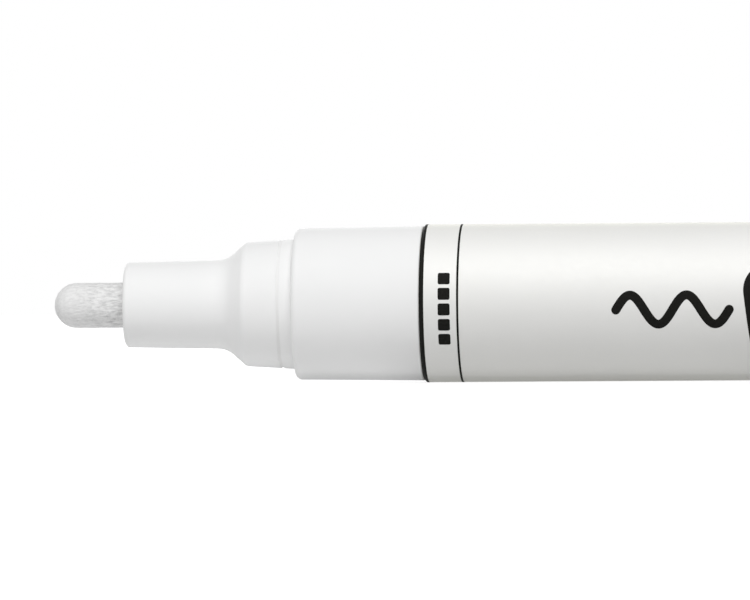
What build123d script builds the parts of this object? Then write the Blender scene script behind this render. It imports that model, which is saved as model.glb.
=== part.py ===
from build123d import *
import math
import os

# A valve-action paint marker, uncapped, lying on a table with its cap posted on the tail.
# +X runs back from the nib to the cap, +Z is up, and the origin is on the marker's axis at the
# middle of the barrel. Every size is in millimetres. Stations are measured along the marker
# from the tip of the nib.

# Fits between pieces, each a gap on the radius or between two faces
PRESS_GAP = 0.02  # pieces pressed or clamped together
RUNNING_GAP = 0.05  # pieces that slide in one another
VALVE_GAP = 0.05  # the closed valve's head and its seat, square to the cone
STOP_GAP = 0.15  # left between the pusher and the seat at the end of the stroke

# Barrel: a plain tube that holds the paint
BARREL_DIAMETER = 14.0
BARREL_WALL = 1.0
BARREL_LENGTH = 88.0
BARREL_EDGE_CHAMFER = 0.3
BARREL_SEAM_TURN = 2.7  # degrees, so that a facet of its mesh and no corner meets the table

# Nib: a bonded fibre rod with a round end, which is also the button of the pump
NIB_DIAMETER = 4.0
NIB_LENGTH = 24.4
NIB_PROJECTION = 6.37
NIB_REAR_CHAMFER = 0.4
NIB_STROKE = 2.0

# Nib holder: the stepped nose, whose rear cylinder is the seat of the cap
NOSE_TIP_DIAMETER = 7.56
NOSE_ROOT_DIAMETER = 7.9
NOSE_LENGTH = 9.03
NOSE_EDGE_RADIUS = 0.4
SHOULDER_ANGLE = 42.0  # degrees between the shoulder's cone and the marker's axis
SHOULDER_HOLLOW_RADIUS = 2.2
SHOULDER_ROUND_RADIUS = 0.7
CHAMBER_DIAMETER = 6.4
CHAMBER_DEPTH = 10.0
AIR_CHANNEL_COUNT = 4
AIR_CHANNEL_DIAMETER = 0.6

# Cap seat: the same spigot is on the nose and on the tail, so that the cap fits both
CAP_SEAT_DIAMETER = 11.53
CAP_SEAT_LENGTH = 4.43
CAP_SEAT_DRAFT = 3.5  # degrees
SNAP_GROOVE_WIDTH = 0.3
SNAP_GROOVE_DEPTH = 0.15
SNAP_GROOVE_OFFSET = 1.2  # from the face that the cap's mouth meets

# Collar: the grip that joins the nose to the barrel
COLLAR_FRONT_DIAMETER = 13.4
COLLAR_REAR_DIAMETER = 13.68
COLLAR_LENGTH = 11.36
COLLAR_EDGE_RADIUS = 0.55
COLLAR_BORE_DIAMETER = 9.0
COLLAR_SPIGOT_LENGTH = 7.6

# Seal ring in the collar's spigot: cut square from a rubber tube, and squeezed against the barrel
SEAL_WIDTH = 1.1
SEAL_GROOVE_DEPTH = 0.75
SEAL_GROOVE_WIDTH = 1.4
SEAL_OFFSET = 4.0  # from the barrel's front edge to the middle of the ring

# Valve seat: a rubber ring with a coned mouth towards the paint
SEAT_THICKNESS = 3.0
SEAT_HOLE_DIAMETER = 3.0

# Valve stem: pusher, shank, coned head and guide pin in one piece
PUSHER_DIAMETER = 4.8
PUSHER_THICKNESS = 0.9
FLOW_NOTCH_COUNT = 4
FLOW_NOTCH_DIAMETER = 1.4
SHANK_DIAMETER = 1.8
HEAD_DIAMETER = 4.8
HEAD_LAND = 1.2
HEAD_CONE_ANGLE = 45.0  # degrees between the cone and the marker's axis
GUIDE_PIN_DIAMETER = 1.6
GUIDE_PIN_REACH = 0.3  # past the end of the cage, with the valve closed

# Valve cage: the cup that guides the stem and carries the spring
CAGE_BORE_DIAMETER = 6.0
CAGE_FLANGE_DIAMETER = 11.4
CAGE_FLANGE_THICKNESS = 1.0
CAGE_TAIL_DIAMETER = 7.8
CAGE_TAIL_LENGTH = 3.7
CAGE_END_WALL = 1.2
WINDOW_COUNT = 4
WINDOW_WIDTH = 2.4
WINDOW_LENGTH = 2.0

# Valve spring: a wire coil with closer turns at its two ends
SPRING_DIAMETER = 3.9  # outside
SPRING_WIRE = 0.4  # across the corners of its six-sided section
SPRING_TURNS = 8
SPRING_END_PITCH = 0.95

# Mixing ball, loose in the paint
BALL_DIAMETER = 5.0
BALL_GAP = 0.1  # from the wall that it lies on
BALL_END_GAP = 0.3  # from what stops it at each end

# Tail plug: closes the barrel and carries the posted cap
TAIL_PLUG_LENGTH = 8.0
TAIL_PLUG_RELIEF = 0.25
TAIL_RIB_COUNT = 2
TAIL_RIB_WIDTH = 0.9
TAIL_FLANGE_LENGTH = 1.5
TAIL_FLANGE_CHAMFER = 0.25
TAIL_WALL = 1.2

# Cap, with its clip moulded on
CAP_LENGTH = 32.0
CAP_END_WALL = 1.5
CAP_END_RADIUS = 1.2
CAP_MOUTH_CHAMFER = 0.25
CAP_SOCKET_DEPTH = 6.5
CAP_UPPER_WALL = 1.7
CLIP_ROOT_WIDTH = 4.6
CLIP_TIP_WIDTH = 3.8
CLIP_TIP_RADIUS = 1.4
CLIP_LENGTH = 24.0
CLIP_THICKNESS = 1.2
CLIP_GAP = 1.1
CLIP_ROOT_LENGTH = 4.0
CLIP_BEAD_LENGTH = 2.6
CLIP_BEAD_HEIGHT = 0.7
CLIP_END_SETBACK = 1.6  # from the closed end of the cap to the back of the clip
CLIP_EDGE_RADIUS = 0.4
CLIP_TABLE_GAP = 0.03  # from the clip's edge to the table under the barrel

# Cap liner: the inner cup that seals round the nose
LINER_WALL = 0.9
LINER_END_WALL = 1.0
LINER_SETBACK = 0.5  # from the step in the cap to the liner's mouth
LINER_LIP_LENGTH = 1.2
LINER_LIP_CHAMFER = 0.4

# Radii
barrel_radius = BARREL_DIAMETER / 2
bore_radius = barrel_radius - BARREL_WALL
spigot_radius = bore_radius - PRESS_GAP
collar_bore_radius = COLLAR_BORE_DIAMETER / 2
collar_plug_radius = collar_bore_radius - PRESS_GAP
cap_seat_radius = CAP_SEAT_DIAMETER / 2
cap_radius = COLLAR_FRONT_DIAMETER / 2
cap_socket_radius = cap_seat_radius + RUNNING_GAP
nib_radius = NIB_DIAMETER / 2
nib_bore_radius = nib_radius + RUNNING_GAP
nose_root_radius = NOSE_ROOT_DIAMETER / 2
shank_radius = SHANK_DIAMETER / 2
head_radius = HEAD_DIAMETER / 2
seat_hole_radius = SEAT_HOLE_DIAMETER / 2
guide_pin_radius = GUIDE_PIN_DIAMETER / 2
cage_bore_radius = CAGE_BORE_DIAMETER / 2
ball_radius = BALL_DIAMETER / 2

# Stations of the outside, from the tip of the nib back to the end of the cap
nose_front = NIB_PROJECTION
nose_root = nose_front + NOSE_LENGTH
cap_seat_slope = math.tan(math.radians(CAP_SEAT_DRAFT))
cap_seat_front_radius = cap_seat_radius - CAP_SEAT_LENGTH * cap_seat_slope
shoulder_rise = cap_seat_front_radius - nose_root_radius
cap_seat_front = nose_root + shoulder_rise / math.tan(math.radians(SHOULDER_ANGLE))
collar_front = cap_seat_front + CAP_SEAT_LENGTH
barrel_front = collar_front + COLLAR_LENGTH
barrel_rear = barrel_front + BARREL_LENGTH
cap_mouth = barrel_rear + TAIL_FLANGE_LENGTH
post_end = cap_mouth + CAP_SEAT_LENGTH
cap_end = cap_mouth + CAP_LENGTH

# Stations of the pump, from the back of the nib to the end of the cage
pusher_front = NIB_LENGTH + PRESS_GAP
pusher_rear = pusher_front + PUSHER_THICKNESS
seat_front = pusher_rear + NIB_STROKE + STOP_GAP
seat_rear = seat_front + SEAT_THICKNESS
head_rear = seat_rear + HEAD_LAND
collar_rear = barrel_front + COLLAR_SPIGOT_LENGTH
cage_tail_front = collar_rear + CAGE_FLANGE_THICKNESS
cage_end = cage_tail_front + CAGE_TAIL_LENGTH
cage_floor = cage_end - CAGE_END_WALL
guide_pin_end = cage_end + GUIDE_PIN_REACH
tail_plug_front = barrel_rear - TAIL_PLUG_LENGTH

# The marker's own axis, its lengthwise section (station, radius) and its cross-sections
nib_tip_x = -(barrel_front + barrel_rear) / 2
LENGTHWISE = Axis.X
SECTION = Plane(origin=(nib_tip_x, 0, 0), x_dir=(1, 0, 0), z_dir=(0, -1, 0))


def cross_section(station):
    """The plane square to the axis at a station, with its own y axis pointing up."""
    return Plane(origin=(nib_tip_x + station, 0, 0), x_dir=(0, 1, 0), z_dir=(1, 0, 0))


def corner(sketch, station, radius):
    """The corner of a lengthwise section that is nearest to a station and a radius."""
    return sketch.vertices().sort_by_distance((station, radius))[0]


seam_turn = math.radians(BARREL_SEAM_TURN)
BARREL_SECTION = Plane(
    origin=(nib_tip_x, 0, 0), x_dir=(1, 0, 0), z_dir=(0, -math.cos(seam_turn), -math.sin(seam_turn))
)
with BuildPart() as barrel:
    with BuildSketch(BARREL_SECTION) as barrel_section:
        with Locations((barrel_front, bore_radius)):
            Rectangle(BARREL_LENGTH, BARREL_WALL, align=(Align.MIN, Align.MIN))
        chamfer(barrel_section.vertices().group_by(Axis.Y)[-1], BARREL_EDGE_CHAMFER)
    revolve(axis=LENGTHWISE)

with BuildPart() as nib:
    with BuildSketch(SECTION) as nib_section:
        with BuildLine():
            RadiusArc((0, 0), (nib_radius, nib_radius), nib_radius)
            Polyline(
                (nib_radius, nib_radius),
                (NIB_LENGTH - NIB_REAR_CHAMFER, nib_radius),
                (NIB_LENGTH, nib_radius - NIB_REAR_CHAMFER),
                (NIB_LENGTH, 0),
                (0, 0),
            )
        make_face()
    revolve(axis=LENGTHWISE)

chamber_front = seat_front - CHAMBER_DEPTH
with BuildPart() as nib_holder:
    with BuildSketch(SECTION) as nose_section:
        with BuildLine():
            Polyline(
                (nose_front, nib_bore_radius),
                (nose_front, NOSE_TIP_DIAMETER / 2),
                (nose_root, nose_root_radius),
                (cap_seat_front, cap_seat_front_radius),
                (collar_front, cap_seat_radius),
                (collar_front, collar_plug_radius),
                (seat_front, collar_plug_radius),
                (seat_front, CHAMBER_DIAMETER / 2),
                (chamber_front, CHAMBER_DIAMETER / 2),
                (chamber_front, nib_bore_radius),
                close=True,
            )
        make_face()
        fillet(corner(nose_section, nose_front, NOSE_TIP_DIAMETER / 2), NOSE_EDGE_RADIUS)
        fillet(corner(nose_section, nose_root, nose_root_radius), SHOULDER_HOLLOW_RADIUS)
        fillet(corner(nose_section, cap_seat_front, cap_seat_front_radius), SHOULDER_ROUND_RADIUS)
        with Locations((collar_front - SNAP_GROOVE_OFFSET, cap_seat_radius)):
            Rectangle(SNAP_GROOVE_WIDTH, 2 * SNAP_GROOVE_DEPTH, mode=Mode.SUBTRACT)
    revolve(axis=LENGTHWISE)
    with BuildSketch(cross_section(nose_front)):
        with PolarLocations(nib_bore_radius, AIR_CHANNEL_COUNT):
            Circle(AIR_CHANNEL_DIAMETER / 2)
    extrude(amount=chamber_front - nose_front, mode=Mode.SUBTRACT)

seal_station = barrel_front + SEAL_OFFSET
with BuildPart() as collar:
    with BuildSketch(SECTION) as collar_section:
        with BuildLine():
            Polyline(
                (collar_front, collar_bore_radius),
                (collar_front, cap_radius),
                (barrel_front, COLLAR_REAR_DIAMETER / 2),
                (barrel_front, spigot_radius),
                (collar_rear, spigot_radius),
                (collar_rear, collar_bore_radius),
                close=True,
            )
        make_face()
        fillet(corner(collar_section, collar_front, cap_radius), COLLAR_EDGE_RADIUS)
        with Locations((seal_station, spigot_radius)):
            Rectangle(SEAL_GROOVE_WIDTH, 2 * SEAL_GROOVE_DEPTH, mode=Mode.SUBTRACT)
    revolve(axis=LENGTHWISE)

seal_inner_radius = spigot_radius - SEAL_GROOVE_DEPTH + PRESS_GAP
seal_outer_radius = bore_radius - PRESS_GAP
with BuildPart() as collar_seal:
    with BuildSketch(SECTION):
        with Locations((seal_station, (seal_inner_radius + seal_outer_radius) / 2)):
            Rectangle(SEAL_WIDTH, seal_outer_radius - seal_inner_radius)
    revolve(axis=LENGTHWISE)

cone_slope = math.tan(math.radians(HEAD_CONE_ANGLE))
mouth_radius = head_radius + VALVE_GAP / math.cos(math.radians(HEAD_CONE_ANGLE))
with BuildPart() as valve_seat:
    with BuildSketch(SECTION):
        with BuildLine():
            Polyline(
                (seat_front, seat_hole_radius),
                (seat_front, collar_plug_radius),
                (seat_rear, collar_plug_radius),
                (seat_rear, mouth_radius),
                (seat_rear - (mouth_radius - seat_hole_radius) / cone_slope, seat_hole_radius),
                close=True,
            )
        make_face()
    revolve(axis=LENGTHWISE)

with BuildPart() as valve_stem:
    with BuildSketch(SECTION):
        with BuildLine():
            Polyline(
                (pusher_front, 0),
                (pusher_front, PUSHER_DIAMETER / 2),
                (pusher_rear, PUSHER_DIAMETER / 2),
                (pusher_rear, shank_radius),
                (seat_rear - (head_radius - shank_radius) / cone_slope, shank_radius),
                (seat_rear, head_radius),
                (head_rear, head_radius),
                (head_rear, guide_pin_radius),
                (guide_pin_end, guide_pin_radius),
                (guide_pin_end, 0),
                close=True,
            )
        make_face()
    revolve(axis=LENGTHWISE)
    with BuildSketch(cross_section(pusher_front)):
        with PolarLocations(PUSHER_DIAMETER / 2, FLOW_NOTCH_COUNT):
            Circle(FLOW_NOTCH_DIAMETER / 2)
    extrude(amount=PUSHER_THICKNESS, mode=Mode.SUBTRACT)

with BuildPart() as valve_cage:
    with BuildSketch(SECTION):
        with BuildLine():
            Polyline(
                (seat_rear, cage_bore_radius),
                (seat_rear, collar_plug_radius),
                (collar_rear, collar_plug_radius),
                (collar_rear, CAGE_FLANGE_DIAMETER / 2),
                (cage_tail_front, CAGE_FLANGE_DIAMETER / 2),
                (cage_tail_front, CAGE_TAIL_DIAMETER / 2),
                (cage_end, CAGE_TAIL_DIAMETER / 2),
                (cage_end, guide_pin_radius + RUNNING_GAP),
                (cage_floor, guide_pin_radius + RUNNING_GAP),
                (cage_floor, cage_bore_radius),
                close=True,
            )
        make_face()
    revolve(axis=LENGTHWISE)
    with BuildSketch(cross_section(cage_floor)):
        with PolarLocations(CAGE_TAIL_DIAMETER / 2, WINDOW_COUNT):
            Rectangle(CAGE_TAIL_DIAMETER - CAGE_BORE_DIAMETER + WINDOW_WIDTH, WINDOW_WIDTH)
    extrude(amount=-WINDOW_LENGTH, mode=Mode.SUBTRACT)

# The coil's wire follows a helix, quarter turn by quarter turn. Each quarter is two arcs that
# leave along the helix at its ends and meet smoothly between them.
QUARTERS_PER_TURN = 4
coil_radius = (SPRING_DIAMETER - SPRING_WIRE) / 2
coil_front = head_rear + PRESS_GAP + SPRING_WIRE / 2
coil_rear = cage_floor - PRESS_GAP - SPRING_WIRE / 2
middle_pitch = (coil_rear - coil_front - 2 * SPRING_END_PITCH) / (SPRING_TURNS - 2)


def coil_advance(turn):
    """How far along the axis the wire has run after so many turns, with closer end turns."""
    end_turns = min(turn, 1) + max(turn - SPRING_TURNS + 1, 0)
    return end_turns * SPRING_END_PITCH + (turn - end_turns) * middle_pitch


def coil_point(turn):
    """The middle of the wire after so many turns, in the marker's frame."""
    angle = 2 * math.pi * turn
    return Vector(
        nib_tip_x + coil_front + coil_advance(turn),
        coil_radius * math.cos(angle),
        coil_radius * math.sin(angle),
    )


def coil_direction(turn):
    """The wire's direction after so many turns, averaged over the pitches that meet there."""
    angle = 2 * math.pi * turn
    step = 1 / QUARTERS_PER_TURN
    before, after = max(turn - step, 0), min(turn + step, SPRING_TURNS)
    climb = (coil_advance(after) - coil_advance(before)) / (2 * math.pi * (after - before))
    around = Vector(0, -coil_radius * math.sin(angle), coil_radius * math.cos(angle))
    return (around + Vector(climb, 0, 0)).normalized()


def quarter_arcs(turn):
    """Two tangent arcs along the helix, from a turn to a quarter turn further on."""
    start, end = coil_point(turn), coil_point(turn + 1 / QUARTERS_PER_TURN)
    leave, arrive = coil_direction(turn), coil_direction(turn + 1 / QUARTERS_PER_TURN)
    chord = end - start
    along = chord.dot(leave + arrive)
    spread = 2 - 2 * leave.dot(arrive)
    reach = (math.sqrt(along**2 + spread * chord.dot(chord)) - along) / spread
    middle = (start + leave * reach + end - arrive * reach) * 0.5
    TangentArc(start, middle, tangent=leave)
    TangentArc(middle, end, tangent=end - arrive * reach - middle)


with BuildPart() as valve_spring:
    with BuildLine() as coil:
        for quarter in range(SPRING_TURNS * QUARTERS_PER_TURN):
            quarter_arcs(quarter / QUARTERS_PER_TURN)
    with BuildSketch(Plane(origin=coil_point(0), z_dir=coil_direction(0))):
        RegularPolygon(SPRING_WIRE / 2, 6)
    sweep(path=coil.wires()[0])

# The ball's way ends at the guide pin of the open valve and at the tail plug
ball_front = guide_pin_end + NIB_STROKE + BALL_END_GAP + ball_radius
ball_rear = tail_plug_front - BALL_END_GAP - ball_radius
ball_drop = bore_radius - BALL_GAP - ball_radius
with BuildPart() as mixing_ball:
    with Locations((nib_tip_x + (ball_front + ball_rear) / 2, 0, -ball_drop)):
        Sphere(ball_radius)

rib_pitch = TAIL_PLUG_LENGTH / TAIL_RIB_COUNT
tail_cavity_radius = cap_seat_front_radius - TAIL_WALL
with BuildPart() as tail_plug:
    with BuildSketch(SECTION) as tail_section:
        with BuildLine():
            Polyline(
                (tail_plug_front, tail_cavity_radius),
                (tail_plug_front, spigot_radius - TAIL_PLUG_RELIEF),
                (barrel_rear, spigot_radius - TAIL_PLUG_RELIEF),
                (barrel_rear, cap_radius),
                (cap_mouth, cap_radius),
                (cap_mouth, cap_seat_radius),
                (post_end, cap_seat_front_radius),
                (post_end, 0),
                (post_end - TAIL_WALL, 0),
                (post_end - TAIL_WALL, tail_cavity_radius),
                close=True,
            )
        make_face()
        chamfer(corner(tail_section, barrel_rear, cap_radius), TAIL_FLANGE_CHAMFER)
        chamfer(corner(tail_section, cap_mouth, cap_radius), TAIL_FLANGE_CHAMFER)
        for rib in range(TAIL_RIB_COUNT):
            with Locations((tail_plug_front + (rib + 0.5) * rib_pitch, spigot_radius)):
                Rectangle(TAIL_RIB_WIDTH, 2 * TAIL_PLUG_RELIEF, align=(Align.CENTER, Align.MAX))
        with Locations((cap_mouth + SNAP_GROOVE_OFFSET, cap_seat_radius)):
            Rectangle(SNAP_GROOVE_WIDTH, 2 * SNAP_GROOVE_DEPTH, mode=Mode.SUBTRACT)
    revolve(axis=LENGTHWISE)

cap_upper_radius = cap_radius - CAP_UPPER_WALL
cap_step = cap_mouth + CAP_SOCKET_DEPTH
cap_floor = cap_end - CAP_END_WALL
clip_underside = cap_radius + CLIP_GAP
clip_top = clip_underside + CLIP_THICKNESS
clip_rear = cap_end - CLIP_END_SETBACK
clip_front = clip_rear - CLIP_LENGTH
clip_root_front = clip_rear - CLIP_ROOT_LENGTH
clip_foot = (cap_radius + cap_upper_radius) / 2

# The cap is posted with its clip turned to the side, where the clip's edge leans on the table
clip_edge_height = clip_top - CLIP_EDGE_RADIUS
clip_edge_offset = CLIP_ROOT_WIDTH / 2 - CLIP_EDGE_RADIUS
table_depth = barrel_radius - CLIP_TABLE_GAP - CLIP_EDGE_RADIUS
edge_turn = math.acos(table_depth / math.hypot(clip_edge_height, clip_edge_offset))
clip_turn = edge_turn + math.atan2(clip_edge_offset, clip_edge_height)
clip_outwards = Vector(0, math.sin(clip_turn), -math.cos(clip_turn))
CLIP_SECTION = Plane(
    origin=(nib_tip_x, 0, 0), x_dir=(1, 0, 0), z_dir=(0, math.cos(clip_turn), math.sin(clip_turn))
)
clip_plane = Plane(
    origin=Vector(nib_tip_x, 0, 0) + clip_outwards * clip_foot, x_dir=(1, 0, 0), z_dir=clip_outwards
)
with BuildPart() as clip_form:
    with BuildSketch(clip_plane) as clip_plan:
        with BuildLine():
            Polyline(
                (clip_front, CLIP_TIP_WIDTH / 2),
                (clip_rear, CLIP_ROOT_WIDTH / 2),
                (clip_rear, -CLIP_ROOT_WIDTH / 2),
                (clip_front, -CLIP_TIP_WIDTH / 2),
                close=True,
            )
        make_face()
        fillet(clip_plan.vertices().group_by(Axis.X)[0], CLIP_TIP_RADIUS)
    extrude(amount=clip_top - clip_foot)
    with BuildSketch(CLIP_SECTION) as clip_section:
        with BuildLine():
            Polyline(
                (clip_rear, clip_foot),
                (clip_root_front, clip_foot),
                (clip_root_front, clip_underside),
                (clip_front + CLIP_BEAD_LENGTH, clip_underside),
                (clip_front + CLIP_BEAD_LENGTH / 2, clip_underside - CLIP_BEAD_HEIGHT),
                (clip_front, clip_underside),
                (clip_front, clip_top),
                (clip_rear, clip_top),
                close=True,
            )
        make_face()
        fillet(corner(clip_section, clip_root_front, clip_underside), CLIP_GAP / 2)
        bead_crest = (clip_front + CLIP_BEAD_LENGTH / 2, clip_underside - CLIP_BEAD_HEIGHT)
        fillet(corner(clip_section, *bead_crest), CLIP_BEAD_HEIGHT)
    extrude(amount=CLIP_ROOT_WIDTH, both=True, mode=Mode.INTERSECT)
    clip_back = clip_form.faces().sort_by(Axis((0, 0, 0), clip_outwards))[-1]
    fillet(clip_back.edges(), CLIP_EDGE_RADIUS)

with BuildPart() as cap:
    with BuildSketch(SECTION) as cap_section:
        with BuildLine():
            Polyline(
                (cap_mouth, cap_socket_radius),
                (cap_mouth, cap_radius),
                (cap_end, cap_radius),
                (cap_end, 0),
                (cap_floor, 0),
                (cap_floor, cap_upper_radius),
                (cap_step, cap_upper_radius),
                (cap_step, cap_socket_radius),
                close=True,
            )
        make_face()
        fillet(corner(cap_section, cap_end, cap_radius), CAP_END_RADIUS)
        chamfer(corner(cap_section, cap_mouth, cap_socket_radius), CAP_MOUTH_CHAMFER)
    revolve(axis=LENGTHWISE)
    add(clip_form.part)

liner_radius = cap_upper_radius - PRESS_GAP
liner_bore_radius = liner_radius - LINER_WALL
liner_mouth = cap_step + LINER_SETBACK
liner_end = cap_floor - PRESS_GAP
lip_radius = nose_root_radius + RUNNING_GAP
with BuildPart() as cap_liner:
    with BuildSketch(SECTION) as liner_section:
        with BuildLine():
            Polyline(
                (liner_mouth, lip_radius),
                (liner_mouth, liner_radius),
                (liner_end, liner_radius),
                (liner_end, 0),
                (liner_end - LINER_END_WALL, 0),
                (liner_end - LINER_END_WALL, liner_bore_radius),
                (liner_mouth + LINER_LIP_LENGTH, liner_bore_radius),
                (liner_mouth + LINER_LIP_LENGTH, lip_radius),
                close=True,
            )
        make_face()
        chamfer(corner(liner_section, liner_mouth, lip_radius), LINER_LIP_CHAMFER)
    revolve(axis=LENGTHWISE)

# How close the coil's wire comes to its own next turn
coil_samples = 48 * SPRING_TURNS
coil_track = [coil_point(SPRING_TURNS * sample / coil_samples) for sample in range(coil_samples + 1)]
nearest_turn = min(
    (one - other).length
    for number, one in enumerate(coil_track)
    for other in coil_track[number + coil_samples // (2 * SPRING_TURNS) :]
)
print("least gap between the spring's turns", round(nearest_turn - SPRING_WIRE, 2), "mm")

# One file for each piece, named after it
pieces = {
    "barrel": barrel,
    "nib": nib,
    "nib_holder": nib_holder,
    "collar": collar,
    "collar_seal": collar_seal,
    "valve_seat": valve_seat,
    "valve_stem": valve_stem,
    "valve_cage": valve_cage,
    "valve_spring": valve_spring,
    "mixing_ball": mixing_ball,
    "tail_plug": tail_plug,
    "cap": cap,
    "cap_liner": cap_liner,
}
os.makedirs("parts", exist_ok=True)
for name, piece in pieces.items():
    piece.part.label = name
    export_step(piece.part, f"parts/{name}.step")
    print(name, round(piece.part.volume, 1), "mm3")
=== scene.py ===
import math
import random

import bmesh
import bpy
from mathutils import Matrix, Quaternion, Vector, noise
from mathutils.geometry import tessellate_polygon


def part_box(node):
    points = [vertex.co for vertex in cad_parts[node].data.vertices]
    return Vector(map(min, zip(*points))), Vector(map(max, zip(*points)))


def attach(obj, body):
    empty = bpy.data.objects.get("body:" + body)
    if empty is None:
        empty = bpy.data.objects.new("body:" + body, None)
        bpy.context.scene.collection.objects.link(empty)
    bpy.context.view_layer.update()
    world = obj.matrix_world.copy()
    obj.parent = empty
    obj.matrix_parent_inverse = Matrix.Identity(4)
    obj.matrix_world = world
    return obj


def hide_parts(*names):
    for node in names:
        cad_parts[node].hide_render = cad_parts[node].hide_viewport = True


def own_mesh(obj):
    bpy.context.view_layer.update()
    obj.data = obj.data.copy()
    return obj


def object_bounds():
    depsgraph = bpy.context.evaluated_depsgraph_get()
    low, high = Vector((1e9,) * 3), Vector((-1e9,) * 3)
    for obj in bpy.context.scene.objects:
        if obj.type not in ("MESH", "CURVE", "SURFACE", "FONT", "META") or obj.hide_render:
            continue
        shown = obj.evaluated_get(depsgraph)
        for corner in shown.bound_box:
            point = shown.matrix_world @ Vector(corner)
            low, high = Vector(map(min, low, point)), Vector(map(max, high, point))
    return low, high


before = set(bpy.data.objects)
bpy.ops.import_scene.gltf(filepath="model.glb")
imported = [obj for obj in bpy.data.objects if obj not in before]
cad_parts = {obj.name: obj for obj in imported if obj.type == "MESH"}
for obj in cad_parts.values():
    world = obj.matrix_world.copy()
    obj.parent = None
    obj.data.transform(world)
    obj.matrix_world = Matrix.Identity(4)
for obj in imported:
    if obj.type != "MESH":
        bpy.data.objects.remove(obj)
cad_low, cad_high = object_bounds()

# Lengths are written in millimetres, and this factor turns them into metres
MM = 0.001

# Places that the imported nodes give
barrel_low, barrel_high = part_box("barrel")
nib_low, nib_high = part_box("nib")
collar_low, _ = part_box("collar")
spring_low, spring_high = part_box("valve_spring")
BARREL_RADIUS = barrel_high.z / MM
NIB_RADIUS = nib_high.z / MM
NIB_LENGTH = (nib_high.x - nib_low.x) / MM


def metres(x, y, z):
    """A point given in millimetres, as a vector in metres."""
    return Vector((x * MM, y * MM, z * MM))


def direction(azimuth, elevation):
    """A unit vector from the part to a place round it, with azimuth 0 on the near side."""
    turn = math.radians(azimuth)
    rise = math.radians(elevation)
    return Vector((math.sin(turn) * math.cos(rise), -math.cos(turn) * math.cos(rise), math.sin(rise)))


def add_to_scene(name, data):
    """An object of the scene that holds a mesh, a lamp or a camera."""
    made = bpy.data.objects.new(name, data)
    bpy.context.scene.collection.objects.link(made)
    return made


def mesh_piece(name, points, faces, smooth=True):
    """A mesh object in the row frame, from points in metres."""
    mesh = bpy.data.meshes.new(name)
    mesh.from_pydata([tuple(point) for point in points], [], faces)
    mesh.validate()
    mesh.polygons.foreach_set("use_smooth", [smooth] * len(mesh.polygons))
    mesh.update()
    return add_to_scene(name, mesh)


def finish_piece(piece, body, material):
    """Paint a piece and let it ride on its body."""
    piece.data.materials.append(material)
    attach(piece, body)
    return piece


# Node helpers for the materials

# Places of the colour sockets on a mix node
MIX_FIRST = 6
MIX_SECOND = 7
MIX_RESULT = 2


class Paint:
    """A material with its tree, and short ways to add nodes to it."""

    def __init__(self, name):
        self.material = bpy.data.materials.new(name)
        self.material.use_nodes = True
        self.tree = self.material.node_tree
        self.shader = self.tree.nodes["Principled BSDF"]
        self.place = self.tree.nodes.new("ShaderNodeTexCoord").outputs["Object"]

    def add(self, kind, settings=None, **inputs):
        """A node with its settings, and its inputs by name."""
        made = self.tree.nodes.new(kind)
        for name, value in (settings or {}).items():
            setattr(made, name, value)
        for name, value in inputs.items():
            self.feed(made.inputs[name.replace("_", " ")], value)
        return made

    def feed(self, socket, value):
        """Link a socket to another one, or set its value."""
        if isinstance(value, bpy.types.NodeSocket):
            self.tree.links.new(value, socket)
        else:
            socket.default_value = value

    def noise(self, scale, stretch=(1, 1, 1), detail=2.0, roughness=0.5):
        """Noise in the row frame, with so many features to the millimetre."""
        mapped = self.add("ShaderNodeMapping", Vector=self.place, Scale=stretch)
        made = self.add(
            "ShaderNodeTexNoise",
            Vector=mapped.outputs["Vector"],
            Scale=scale / MM,
            Detail=detail,
            Roughness=roughness,
        )
        return made.outputs["Fac"]

    def cells(self, scale, stretch):
        """A random grey for each cell of a pattern, with so many cells to the millimetre."""
        mapped = self.add("ShaderNodeMapping", Vector=self.place, Scale=stretch)
        made = self.add("ShaderNodeTexVoronoi", Vector=mapped.outputs["Vector"], Scale=scale / MM)
        return self.add("ShaderNodeRGBToBW", Color=made.outputs["Color"]).outputs["Val"]

    def spread(self, value, low, high, start=0.3, end=0.7):
        """A value whose range from start to end is mapped onto low to high."""
        made = self.add("ShaderNodeMapRange", Value=value)
        made.inputs["From Min"].default_value = start
        made.inputs["From Max"].default_value = end
        made.inputs["To Min"].default_value = low
        made.inputs["To Max"].default_value = high
        return made.outputs["Result"]

    def blend(self, factor, first, second):
        """A colour between two, by a factor."""
        made = self.add("ShaderNodeMix", {"data_type": "RGBA"})
        self.feed(made.inputs[0], factor)
        self.feed(made.inputs[MIX_FIRST], first if isinstance(first, bpy.types.NodeSocket) else (*first, 1))
        self.feed(made.inputs[MIX_SECOND], (*second, 1))
        return made.outputs[MIX_RESULT]

    def along(self):
        """The place along the marker."""
        return self.add("ShaderNodeSeparateXYZ", Vector=self.place).outputs["X"]

    def result_of(self, operation, *values):
        """The result of a math node."""
        made = self.add("ShaderNodeMath", {"operation": operation})
        for number, value in enumerate(values):
            self.feed(made.inputs[number], value)
        return made.outputs[0]

    def ring_at(self, place, width):
        """One on a ring round the marker at a place along it, and zero elsewhere."""
        return self.result_of("COMPARE", self.along(), place, width / 2 * MM)

    def bump(self, height, depth):
        """A bump of so many millimetres."""
        made = self.add("ShaderNodeBump", Height=height, Strength=1.0, Distance=depth * MM)
        return made.outputs["Normal"]

    def set(self, **values):
        """Feed the shader's own sockets by name."""
        for name, value in values.items():
            if isinstance(value, tuple):
                value = (*value, 1)
            self.feed(self.shader.inputs[name.replace("_", " ")], value)


# Materials

# Painted shade: a darker ring in the groove of the nose, which lies this far in front of the collar
GROOVE_PLACE = 1.2
GROOVE_SHADE_WIDTH = 0.24
GROOVE_SHADE = (0.84, 0.84, 0.835)

# How much smoother and duller than its mean a moulded surface gets in places
SMOOTHER = 0.05
DULLER = 0.06

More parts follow.
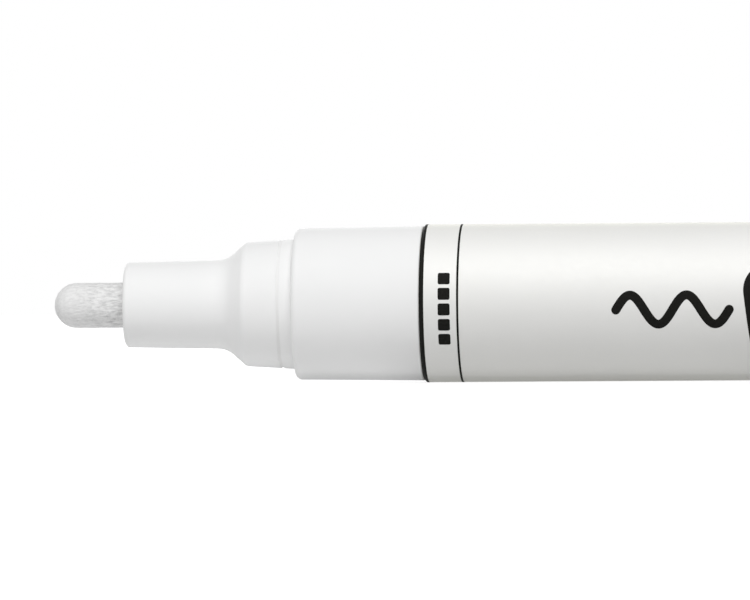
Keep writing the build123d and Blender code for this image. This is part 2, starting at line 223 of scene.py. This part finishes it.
# Where behind its tip the nib's dark gaps start to open, and where they are fully open
GAPS_START = 1.0
GAPS_FULL = 5.0


def moulded(name, light, dark, rough, grain_depth, shaded_groove=None):
    """Injection-moulded plastic: fine grain, slow tone drift and uneven gloss, and a ring of painted shade
    in a groove where one is given.
    """
    paint = Paint(name)
    drift = paint.spread(paint.noise(scale=0.18, stretch=(0.5, 1, 1)), low=0, high=1)
    grain = paint.noise(scale=7.0, detail=3)
    haze = paint.noise(scale=0.9, detail=3)
    tone = paint.blend(drift, light, dark)
    # Painted shade: a darker ring where the groove's shadow falls
    if shaded_groove is not None:
        tone = paint.blend(paint.ring_at(shaded_groove, GROOVE_SHADE_WIDTH), tone, GROOVE_SHADE)
    paint.set(
        Base_Color=tone,
        Roughness=paint.spread(haze, low=rough - SMOOTHER, high=rough + DULLER),
        Specular_IOR_Level=0.4,
        Normal=paint.bump(grain, grain_depth),
    )
    return paint.material


def pearl_lacquer():
    """White lacquer with fine pearl flakes under a thin clear coat."""
    light = (0.761, 0.761, 0.759)
    dark = (0.745, 0.745, 0.743)
    flake = (0.81, 0.81, 0.806)
    paint = Paint("pearl_lacquer")
    flakes = paint.cells(scale=12.0, stretch=(0.7, 1, 1))
    drift = paint.noise(scale=0.2, stretch=(0.4, 1, 1))
    body = paint.blend(paint.spread(drift, low=0, high=1), light, dark)
    lively = paint.blend(paint.spread(flakes, low=0, high=0.35, start=0.2, end=0.8), body, flake)
    paint.set(
        Base_Color=lively,
        Metallic=0.33,
        Roughness=paint.spread(flakes, low=0.64, high=0.76, start=0.2, end=0.8),
        Specular_IOR_Level=0.6,
        Specular_Tint=(1.0, 0.98, 0.6),
        Coat_Weight=0.06,
        Coat_Roughness=0.4,
        Normal=paint.bump(paint.noise(scale=1.6, detail=3), depth=0.0015),
    )
    return paint.material


def printed_ink():
    """Black printing ink, a little matt, with faint screen unevenness."""
    dense = (0.0085, 0.0085, 0.0075)
    thin = (0.014, 0.014, 0.0125)
    paint = Paint("printed_ink")
    mottle = paint.noise(scale=5.0, detail=4)
    paint.set(
        Base_Color=paint.blend(paint.spread(mottle, low=0, high=1), dense, thin),
        Roughness=paint.spread(mottle, low=0.5, high=0.66),
        Specular_IOR_Level=0.05,
        Normal=paint.bump(mottle, depth=0.003),
    )
    return paint.material


def bonded_felt():
    """Bonded nib fibre: pale strands that run along the nib with darker gaps between them."""
    strand = (0.875, 0.875, 0.873)
    gap = (0.62, 0.62, 0.62)
    clump = (0.72, 0.72, 0.72)
    paint = Paint("bonded_felt")
    strands = paint.noise(scale=5.0, stretch=(0.3, 1, 1), detail=3, roughness=0.55)
    clumps = paint.noise(scale=1.8, stretch=(0.5, 1, 1))
    start = nib_low.x + GAPS_START * MM
    end = nib_low.x + GAPS_FULL * MM
    opened = paint.spread(paint.along(), low=0.3, high=1.0, start=start, end=end)
    gaps = paint.result_of("MULTIPLY", paint.spread(strands, low=1, high=0, start=0.36, end=0.6), opened)
    tone = paint.blend(gaps, strand, gap)
    paint.set(
        Base_Color=paint.blend(paint.spread(clumps, low=0, high=0.25), tone, clump),
        Roughness=paint.spread(strands, low=0.8, high=0.95),
        Specular_IOR_Level=0.2,
        Sheen_Weight=0.55,
        Sheen_Roughness=0.45,
        Normal=paint.bump(strands, depth=0.04),
    )
    return paint.material


def soft_rubber():
    """Dull black rubber with a fine talc bloom."""
    bare = (0.022, 0.022, 0.023)
    dusted = (0.045, 0.045, 0.046)
    paint = Paint("soft_rubber")
    bloom = paint.noise(scale=2.5, detail=4)
    paint.set(
        Base_Color=paint.blend(paint.spread(bloom, low=0, high=1), bare, dusted),
        Roughness=paint.spread(bloom, low=0.62, high=0.85),
        Normal=paint.bump(paint.noise(scale=9.0, detail=3), depth=0.006),
    )
    return paint.material


def drawn_wire():
    """Spring wire with the fine lines of the drawing die."""
    dark = (0.58, 0.58, 0.59)
    light = (0.68, 0.68, 0.68)
    paint = Paint("drawn_wire")
    lines = paint.noise(scale=14.0, stretch=(1, 0.25, 0.25), detail=3)
    paint.set(
        Base_Color=paint.blend(paint.spread(lines, low=0, high=1), dark, light),
        Metallic=1.0,
        Roughness=paint.spread(lines, low=0.24, high=0.42),
        Normal=paint.bump(lines, depth=0.003),
    )
    return paint.material


def polished_steel():
    """Polished steel with a film of dried paint in places."""
    bare = (0.7, 0.7, 0.71)
    filmed = (0.85, 0.85, 0.84)
    paint = Paint("polished_ball")
    film = paint.spread(paint.noise(scale=0.9, detail=4), low=0, high=0.4, start=0.5, end=0.7)
    paint.set(
        Base_Color=paint.blend(film, bare, filmed),
        Metallic=1.0,
        Roughness=paint.spread(paint.noise(scale=3.0, detail=4), low=0.08, high=0.3),
        Normal=paint.bump(paint.noise(scale=6.0, detail=2), depth=0.002),
    )
    return paint.material


white = {"light": (0.895, 0.897, 0.895), "dark": (0.88, 0.883, 0.881), "rough": 0.66, "grain_depth": 0.002}
valve_grey = {"light": (0.83, 0.84, 0.85), "dark": (0.79, 0.8, 0.81), "rough": 0.42, "grain_depth": 0.003}
liner_white = {"light": (0.87, 0.88, 0.87), "dark": (0.83, 0.84, 0.83), "rough": 0.5, "grain_depth": 0.003}
white_plastic = moulded("white_plastic", **white)
# The nose's plastic carries the painted shade in its groove
nose_plastic = moulded("nose_plastic", **white, shaded_groove=collar_low.x - GROOVE_PLACE * MM)
valve_plastic = moulded("valve_plastic", **valve_grey)
liner_plastic = moulded("liner_plastic", **liner_white)
pearl = pearl_lacquer()
ink = printed_ink()
felt = bonded_felt()
rubber = soft_rubber()
wire = drawn_wire()
steel = polished_steel()

node_paints = {
    "nib_holder": nose_plastic,
    "collar": white_plastic,
    "tail_plug": white_plastic,
    "cap": white_plastic,
    "cap_liner": liner_plastic,
    "barrel": pearl,
    "collar_seal": rubber,
    "valve_seat": rubber,
    "valve_stem": valve_plastic,
    "valve_cage": valve_plastic,
    "mixing_ball": steel,
}
for name, paint in node_paints.items():
    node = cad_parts[name]
    node.data.materials.clear()
    node.data.materials.append(paint)

# Nib: a lathe form whose surface is roughened into strands that run along it

NIB_SEGMENTS = 240
NIB_TIP_STEP = 2  # degrees round the tip
NIB_FINE_STEP = 0.06
NIB_FINE_END = 8.4
NIB_COARSE_STEP = 1.0
NIB_BACK_CHAMFER = 0.4

# Features to the millimetre along and across the nib, and the depth of each kind of unevenness
STRAND_ALONG = 2.6
STRAND_ACROSS = 8.5
STRAND_DEPTH = 0.045
FLECK_ALONG = 6.0
FLECK_ACROSS = 13.0
FLECK_DEPTH = 0.03
FLECK_SHIFT = 40
LUMP_ALONG = 0.9
LUMP_ACROSS = 1.3
LUMP_DEPTH = 0.012
LUMP_SHIFT = 80
MEAN_DEPTH = 0.014

# The tip is smoother than the rest, and the full roughness is reached after a run behind it
SMOOTH_TIP = 0.8
ROUGHENING_RUN = 3.0
TIP_ROUGHNESS = 0.25


def nib_profile(station):
    """The nib's radius at a distance from its tip."""
    if station < NIB_RADIUS:
        return math.sqrt(NIB_RADIUS**2 - (NIB_RADIUS - station) ** 2)
    return min(NIB_RADIUS, NIB_RADIUS - NIB_BACK_CHAMFER + NIB_LENGTH - station)


def nib_depth(station, y, z):
    """How deep the gaps between the strands are at a place on the nib."""
    strand = noise.noise((station * STRAND_ALONG, y * STRAND_ACROSS, z * STRAND_ACROSS))
    fleck = noise.noise((station * FLECK_ALONG, y * FLECK_ACROSS, z * FLECK_ACROSS + FLECK_SHIFT))
    lump = noise.noise((station * LUMP_ALONG, y * LUMP_ACROSS, z * LUMP_ACROSS + LUMP_SHIFT))
    grown = min(1.0, max(0.0, (station - SMOOTH_TIP) / ROUGHENING_RUN))
    rough = TIP_ROUGHNESS + (1 - TIP_ROUGHNESS) * grown
    return max(0.0, MEAN_DEPTH + rough * (STRAND_DEPTH * strand + FLECK_DEPTH * fleck) + LUMP_DEPTH * lump)


def nib_point(station, angle):
    """A point on the roughened nib, in metres."""
    radius = nib_profile(station)
    y, z = -math.cos(angle), math.sin(angle)
    depth = nib_depth(station, radius * y, radius * z)
    slope = max(0.0, (NIB_RADIUS - station) / NIB_RADIUS)
    inward = math.sqrt(max(0.0, 1 - slope**2)) * depth
    across = max(0.0, radius - inward)
    return metres(nib_low.x / MM + station + slope * depth, across * y, across * z)


def nib_stations():
    """Stations along the nib, close together where it shows."""
    turns = range(NIB_TIP_STEP, 90, NIB_TIP_STEP)
    tip = [NIB_RADIUS * (1 - math.cos(math.radians(degrees))) for degrees in turns]
    count = round((NIB_FINE_END - NIB_RADIUS) / NIB_FINE_STEP)
    fine = [NIB_RADIUS + (NIB_FINE_END - NIB_RADIUS) * step / count for step in range(count + 1)]
    back = NIB_LENGTH - NIB_BACK_CHAMFER
    runs = round((back - NIB_FINE_END) / NIB_COARSE_STEP)
    coarse = [NIB_FINE_END + (back - NIB_FINE_END) * step / runs for step in range(1, runs + 1)]
    return tip + fine + coarse + [NIB_LENGTH]


def make_nib():
    """The nib as one closed mesh, from its tip to its flat back end."""
    stations = nib_stations()
    points = [nib_point(0.0, 0.0)]
    for station in stations:
        for segment in range(NIB_SEGMENTS):
            points.append(nib_point(station, 2 * math.pi * segment / NIB_SEGMENTS))
    faces = []
    for segment in range(NIB_SEGMENTS):
        after = (segment + 1) % NIB_SEGMENTS
        faces.append((0, 1 + after, 1 + segment))
        for row in range(len(stations) - 1):
            first = 1 + row * NIB_SEGMENTS
            second = first + NIB_SEGMENTS
            faces.append((first + segment, first + after, second + after, second + segment))
    last = 1 + (len(stations) - 1) * NIB_SEGMENTS
    faces.append(tuple(range(last, last + NIB_SEGMENTS)))
    return mesh_piece("nib_fibre", points, faces)


nib_fibre = finish_piece(make_nib(), "nib", felt)
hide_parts("nib")

# Loose fibres that lie on the nib

HAIR_SEED = 7
HAIR_COUNT = 420
HAIR_RADIUS = 0.02
HAIR_STEPS = 5
HAIR_SIDES = 5
HAIR_SPAN = (0.25, 0.7)
HAIR_LEAN = 0.5  # radians, the usual turn away from the nib's axis
HAIR_BOW = 0.12
HAIR_SUNK = 0.03
HAIR_ARCH = 0.02
HAIR_FRONT = 1.4
HAIR_BACK = 7.6
HAIR_CROWDING = 0.8  # below 1, so that there are more towards the nose
END_TAPER = 0.55


def tube(points, faces, track, radius, sides):
    """Add a closed tube, with thinner ends, along a track in millimetres to a mesh in metres."""
    start = len(points)
    for number, place in enumerate(track):
        before = track[max(number - 1, 0)]
        after = track[min(number + 1, len(track) - 1)]
        ahead = (after - before).normalized()
        outward = Vector((0, place.y, place.z)).normalized()
        side = ahead.cross(outward).normalized()
        upward = side.cross(ahead)
        thin = radius * (END_TAPER if number in (0, len(track) - 1) else 1.0)
        for corner in range(sides):
            angle = 2 * math.pi * corner / sides
            spot = place + side * (thin * math.cos(angle)) + upward * (thin * math.sin(angle))
            points.append(spot * MM)
    for number in range(len(track) - 1):
        for corner in range(sides):
            here = start + number * sides + corner
            beside = start + number * sides + (corner + 1) % sides
            faces.append((here, beside, beside + sides, here + sides))
    faces.append(tuple(range(start + sides - 1, start - 1, -1)))
    end = start + (len(track) - 1) * sides
    faces.append(tuple(range(end, end + sides)))


def make_hairs():
    """Short fibres, each bowed a little and partly sunk in the nib's surface."""
    draw = random.Random(HAIR_SEED)
    points, faces = [], []
    for _ in range(HAIR_COUNT):
        station = HAIR_FRONT + (HAIR_BACK - HAIR_FRONT) * draw.random() ** HAIR_CROWDING
        angle = draw.uniform(0, 2 * math.pi)
        lean = draw.gauss(0, HAIR_LEAN)
        span = draw.uniform(*HAIR_SPAN)
        bow = draw.uniform(-HAIR_BOW, HAIR_BOW)
        track = []
        for step in range(HAIR_STEPS):
            share = step / (HAIR_STEPS - 1)
            at = station + span * share * math.cos(lean)
            aside = span * share * math.sin(lean) + bow * math.sin(math.pi * share)
            turned = angle + aside / NIB_RADIUS
            lift = nib_profile(at) - HAIR_SUNK + HAIR_ARCH * math.sin(math.pi * share)
            spot = (nib_low.x / MM + at, -lift * math.cos(turned), lift * math.sin(turned))
            track.append(Vector(spot))
        tube(points, faces, track, HAIR_RADIUS, HAIR_SIDES)
    return mesh_piece("nib_hairs", points, faces)


finish_piece(make_hairs(), "nib", felt)

# Valve coil: the spring's round wire, with closer turns at its ends

COIL_TURNS = 8
COIL_WIRE = 0.39
COIL_END_PITCH = 0.95
COIL_STEPS = 40
COIL_SIDES = 12


def make_coil():
    """The coil at rest, between the spring node's two ends."""
    radius = spring_high.y / MM - COIL_WIRE / 2
    front = spring_low.x / MM + COIL_WIRE / 2
    rear = spring_high.x / MM - COIL_WIRE / 2
    pitch = (rear - front - 2 * COIL_END_PITCH) / (COIL_TURNS - 2)
    track = []
    for step in range(COIL_TURNS * COIL_STEPS + 1):
        turn = step / COIL_STEPS
        end_turns = min(turn, 1) + max(turn - COIL_TURNS + 1, 0)
        along = front + end_turns * COIL_END_PITCH + (turn - end_turns) * pitch
        angle = 2 * math.pi * turn
        track.append(Vector((along, radius * math.cos(angle), radius * math.sin(angle))))
    points, faces = [], []
    tube(points, faces, track, COIL_WIRE / 2, COIL_SIDES)
    return mesh_piece("valve_coil", points, faces)


valve_coil = finish_piece(make_coil(), "marker", wire)
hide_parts("valve_spring")
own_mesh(valve_coil)

# Printed marks on the barrel: places are distances behind its front edge and arcs above its near line

INK_PROUD = 0.012
INK_SUNK = 0.02
RING_SEGMENTS = 240
WRAP_STEP = 0.2
CUT_TOLERANCE = 1e-6

# The leaves of ink lie between these two radii
INK_OUTSIDE = BARREL_RADIUS + INK_PROUD
INK_INSIDE = INK_OUTSIDE - INK_SUNK


def round_barrel(along, angle, radius):
    """A point behind the barrel's front edge, at an angle round its axis from the near line."""
    return metres(barrel_low.x / MM + along, -radius * math.cos(angle), radius * math.sin(angle))


def ring(name, section):
    """A closed ring round the barrel from a section of (distance behind the edge, radius)."""
    points, faces = [], []
    count = len(section)
    for segment in range(RING_SEGMENTS):
        angle = 2 * math.pi * segment / RING_SEGMENTS
        points += [round_barrel(along, angle, radius) for along, radius in section]
    for segment in range(RING_SEGMENTS):
        here = segment * count
        there = ((segment + 1) % RING_SEGMENTS) * count
        for corner in range(count):
            after = (corner + 1) % count
            faces.append((here + corner, there + corner, there + after, here + after))
    return mesh_piece(name, points, faces, smooth=False)


def decal(name, outlines, holes=()):
    """Flat shapes wrapped round the barrel as closed leaves of ink, the first with any holes in it."""
    form = bmesh.new()
    for number, outline in enumerate(outlines):
        loops = [outline] if number else [outline, *holes]
        spots = [[Vector((*spot, 0)) for spot in loop] for loop in loops]
        corners = [form.verts.new(spot) for loop in spots for spot in loop]
        for triangle in tessellate_polygon(spots):
            form.faces.new([corners[corner] for corner in triangle])
    arcs = [vert.co.y for vert in form.verts]
    cut = math.ceil(min(arcs) / WRAP_STEP) * WRAP_STEP
    while cut < max(arcs):
        bmesh.ops.bisect_plane(
            form,
            geom=form.verts[:] + form.edges[:] + form.faces[:],
            dist=CUT_TOLERANCE,
            plane_co=(0, cut, 0),
            plane_no=(0, 1, 0),
        )
        cut += WRAP_STEP
    bmesh.ops.triangulate(form, faces=form.faces[:])
    grown = bmesh.ops.extrude_face_region(form, geom=form.faces[:], use_keep_orig=True)
    raised = {item for item in grown["geom"] if isinstance(item, bmesh.types.BMVert)}
    for vert in form.verts:
        radius = INK_OUTSIDE if vert in raised else INK_INSIDE
        vert.co = round_barrel(vert.co.x, vert.co.y / BARREL_RADIUS, radius)
    bmesh.ops.recalc_face_normals(form, faces=form.faces[:])
    mesh = bpy.data.meshes.new(name)
    form.to_mesh(mesh)
    form.free()
    return add_to_scene(name, mesh)


def turned_arm(arm, angle):
    """A flat vector turned by an angle."""
    return Vector(
        (
            arm.x * math.cos(angle) - arm.y * math.sin(angle),
            arm.x * math.sin(angle) + arm.y * math.cos(angle),
        )
    )


def rounded(corners, radius, steps=8):
    """A polygon with its corners rounded, from points that run round it."""
    outline = []
    count = len(corners)
    for number in range(count):
        here = Vector(corners[number])
        back = (Vector(corners[number - 1]) - here).normalized()
        ahead = (Vector(corners[(number + 1) % count]) - here).normalized()
        half = back.angle(ahead) / 2
        reach = radius / math.tan(half)
        middle = here + (back + ahead).normalized() * (radius / math.sin(half))
        first = here + back * reach - middle
        sweep = -first.angle_signed(here + ahead * reach - middle)
        for step in range(steps + 1):
            outline.append(tuple(middle + turned_arm(first, sweep * step / steps)))
    return outline


def disc(along, around, radius, steps=40):
    """A round dot's outline."""
    middle = Vector((along, around))
    arm = Vector((radius, 0))
    return [tuple(middle + turned_arm(arm, 2 * math.pi * step / steps)) for step in range(steps)]


def half_turn(middle, first, steps):
    """Points of a half circle, clockwise from a first point, without its two ends."""
    arm = first - middle
    return [tuple(middle + turned_arm(arm, -math.pi * step / steps)) for step in range(1, steps)]


def stroke(track, width, steps=10):
    """The outline of a stroke of even width with round ends."""
    left, right = [], []
    for number, place in enumerate(track):
        before = track[max(number - 1, 0)]
        after = track[min(number + 1, len(track) - 1)]
        ahead = (after - before).normalized()
        side = Vector((-ahead.y, ahead.x)) * (width / 2)
        left.append(place + side)
        right.append(place - side)
    outline = [tuple(point) for point in left]
    outline += half_turn(track[-1], left[-1], steps)
    outline += [tuple(point) for point in reversed(right)]
    outline += half_turn(track[0], right[0], steps)
    return outline


# A band that wraps over the barrel's front edge, and a thin line behind it
BAND_WIDTH = 0.5
BAND_FOOT_RADIUS = 6.78
EDGE_CHAMFER = 0.3
LINE_PLACE = 3.5
LINE_WIDTH = 0.19

# Squares in the column between the two lines
SQUARE_COUNT = 5
SQUARE_PITCH = 1.38
SQUARE_SIZE = 1.06
SQUARE_PLACE = 2.3
SQUARE_MIDDLE = -0.55
SQUARE_CORNER_RADIUS = 0.16

# A sample stroke of the nib in the middle of the barrel
WAVE_START = 17.5
WAVE_END = 27.5
WAVE_HEIGHT = 1.3
WAVE_COUNT = 2
WAVE_WIDTH = 0.8
WAVE_MIDDLE = -0.7
WAVE_STEPS = 120

# A black panel along the rear half of the barrel, with a row of growing dots left bare in it
PANEL_START = 28.4
PANEL_END = 80.0
PANEL_TOP = 3.6
PANEL_BOTTOM = -6.0
PANEL_LEAN = 0.12
PANEL_RADIUS = 2.6
PANEL_CORNER_STEPS = 16
DOT_COUNT = 6
DOT_SMALLEST = 0.3
DOT_GROWTH = 0.24
DOT_GAP = 1.5
DOTS_START = 46.0


def make_band():
    """The band, which covers the chamfer of the barrel's edge."""
    foot = BAND_FOOT_RADIUS - (BARREL_RADIUS - EDGE_CHAMFER)
    section = [
        (foot - INK_PROUD, BAND_FOOT_RADIUS + INK_PROUD),
        (EDGE_CHAMFER - INK_PROUD, INK_OUTSIDE),
        (BAND_WIDTH, INK_OUTSIDE),
        (BAND_WIDTH, INK_INSIDE),
        (EDGE_CHAMFER, INK_INSIDE),
        (foot, BAND_FOOT_RADIUS - INK_PROUD),
    ]
    return ring("print_front_band", section)


def make_line():
    """The thin line."""
    front = LINE_PLACE - LINE_WIDTH / 2
    back = LINE_PLACE + LINE_WIDTH / 2
    section = [(front, INK_OUTSIDE), (back, INK_OUTSIDE), (back, INK_INSIDE), (front, INK_INSIDE)]
    return ring("print_thin_line", section)


def make_squares():
    """The squares, one above the other."""
    half = SQUARE_SIZE / 2
    front = SQUARE_PLACE - half
    back = SQUARE_PLACE + half
    squares = []
    for number in range(SQUARE_COUNT):
        middle = SQUARE_MIDDLE + (number - (SQUARE_COUNT - 1) / 2) * SQUARE_PITCH
        low = middle - half
        high = middle + half
        corners = [(front, low), (back, low), (back, high), (front, high)]
        squares.append(rounded(corners, SQUARE_CORNER_RADIUS))
    return decal("print_squares", squares)


def make_sample():
    """The sample stroke, a wave."""
    wave = []
    for step in range(WAVE_STEPS + 1):
        share = step / WAVE_STEPS
        swing = WAVE_HEIGHT * math.sin(2 * math.pi * WAVE_COUNT * share)
        wave.append(Vector((WAVE_START + (WAVE_END - WAVE_START) * share, WAVE_MIDDLE + swing)))
    return decal("print_sample", [stroke(wave, WAVE_WIDTH)])


def make_panel():
    """The panel, slanted at its two ends, and its dots."""
    lean = PANEL_LEAN * (PANEL_TOP - PANEL_BOTTOM)
    corners = [
        (PANEL_START, PANEL_TOP),
        (PANEL_START + lean, PANEL_BOTTOM),
        (PANEL_END + lean, PANEL_BOTTOM),
        (PANEL_END, PANEL_TOP),
    ]
    dots = []
    place = DOTS_START
    for number in range(DOT_COUNT):
        radius = DOT_SMALLEST + number * DOT_GROWTH
        dots.append(disc(place + radius, (PANEL_TOP + PANEL_BOTTOM) / 2, radius))
        place += 2 * radius + DOT_GAP
    return decal("print_panel", [rounded(corners, PANEL_RADIUS, PANEL_CORNER_STEPS)], dots)


for make_print in (make_band, make_line, make_squares, make_sample, make_panel):
    finish_piece(make_print(), "marker", ink)

# Floor, world and lamps

FLOOR_REACH = 6.0  # metres
FLOOR_GAP = 0.02

# The floor's grey and glow near the part, its grey far off, and the metres over which they change
FLOOR_GREY = 0.44
FLOOR_GLOW = 0.62
FLOOR_FAR_GREY = 0.84
FLOOR_FADE_START = 0.12
FLOOR_FADE_END = 0.5

# How strongly the world lights the part, and how strongly the floor lights its nose and its barrel
WORLD_LIGHT = 0.25
NOSE_LIGHT = 0.53
BARREL_LIGHT = 0.33

# Where the floor's light changes, measured back from the barrel's front edge
LIGHT_CHANGE_START = -4.0
LIGHT_CHANGE_END = 2.0


def white_to_view(tree):
    """A strength of one for what the eye and reflections meet, with an input for what lights the part."""
    path = tree.nodes.new("ShaderNodeLightPath")
    seen = path.outputs["Is Camera Ray"]
    for kind in ("Is Glossy Ray", "Is Transmission Ray"):
        either = tree.nodes.new("ShaderNodeMath")
        either.operation = "MAXIMUM"
        tree.links.new(seen, either.inputs[0])
        tree.links.new(path.outputs[kind], either.inputs[1])
        seen = either.outputs[0]
    strength = tree.nodes.new("ShaderNodeMapRange")
    tree.links.new(seen, strength.inputs["Value"])
    strength.inputs["To Max"].default_value = 1.0
    return strength.inputs["To Min"], strength.outputs["Result"]


def grey(level):
    """A plain grey colour."""
    return (level, level, level)


def make_floor():
    """A pale floor just under the part, which glows like a light table near it."""
    level = cad_low.z - FLOOR_GAP * MM
    corners = [(-1, -1), (1, -1), (1, 1), (-1, 1)]
    points = [(x * FLOOR_REACH, y * FLOOR_REACH, level) for x, y in corners]
    floor = mesh_piece("floor", points, [(0, 1, 2, 3)], smooth=False)
    paint = Paint("studio_floor")
    far = paint.add("ShaderNodeVectorMath", {"operation": "LENGTH"}, Vector=paint.place).outputs["Value"]
    fade = paint.spread(far, low=0, high=1, start=FLOOR_FADE_START, end=FLOOR_FADE_END)
    start = barrel_low.x + LIGHT_CHANGE_START * MM
    end = barrel_low.x + LIGHT_CHANGE_END * MM
    light = paint.spread(paint.along(), low=NOSE_LIGHT, high=BARREL_LIGHT, start=start, end=end)
    lit, strength = white_to_view(paint.tree)
    paint.feed(lit, light)
    paint.set(
        Base_Color=paint.blend(fade, grey(FLOOR_GREY), grey(FLOOR_FAR_GREY)),
        Roughness=0.9,
        Specular_IOR_Level=0.1,
        Emission_Color=paint.blend(fade, grey(FLOOR_GLOW), grey(1.0)),
        Emission_Strength=strength,
    )
    floor.data.materials.append(paint.material)


def make_world():
    """An even white world."""
    world = bpy.data.worlds.new("studio")
    world.use_nodes = True
    bpy.context.scene.world = world
    sky = world.node_tree.nodes["Background"]
    sky.inputs["Color"].default_value = (1, 1, 1, 1)
    lit, strength = white_to_view(world.node_tree)
    lit.default_value = WORLD_LIGHT
    world.node_tree.links.new(strength, sky.inputs["Strength"])


def make_lamp(name, azimuth, elevation, distance, width, height, watts):
    """A soft area lamp that faces the middle of the part, with its sizes in metres."""
    lamp = bpy.data.lights.new(name, "AREA")
    lamp.shape = "RECTANGLE"
    lamp.size = width
    lamp.size_y = height
    lamp.energy = watts
    made = add_to_scene(name, lamp)
    back = direction(azimuth, elevation)
    made.location = back * distance
    made.rotation_mode = "QUATERNION"
    made.rotation_quaternion = (-back).to_track_quat("-Z", "Y")
    made.visible_camera = False


make_floor()
make_world()
make_lamp("key", azimuth=0, elevation=51, distance=1.2, width=1.4, height=0.6, watts=12.2)
make_lamp("back_fill", azimuth=180, elevation=14, distance=1.2, width=1.4, height=0.4, watts=6.0)

# Camera at the photograph's viewing angle

CAMERA_AZIMUTH = 4.8
CAMERA_ROLL = -0.37
CAMERA_DISTANCE = 1200.0
CAMERA_LENS = 649.6
AIM_BEHIND_TIP = 28.56
AIM_ABOVE_AXIS = 0.32


def make_camera():
    """The camera, level with the marker and far off, aimed behind the nib's tip."""
    lens = bpy.data.cameras.new("camera")
    lens.lens = CAMERA_LENS
    lens.sensor_width = 36.0
    lens.clip_start = 0.01
    lens.clip_end = 50.0
    camera = add_to_scene("camera", lens)
    back = direction(CAMERA_AZIMUTH, 0)
    aim = metres(nib_low.x / MM + AIM_BEHIND_TIP, 0, AIM_ABOVE_AXIS)
    camera.location = aim + back * (CAMERA_DISTANCE * MM)
    camera.rotation_mode = "QUATERNION"
    roll = Quaternion((0, 0, 1), math.radians(CAMERA_ROLL))
    camera.rotation_quaternion = (-back).to_track_quat("-Z", "Y") @ roll
    bpy.context.scene.camera = camera


make_camera()
bpy.context.scene.view_settings.view_transform = "Standard"
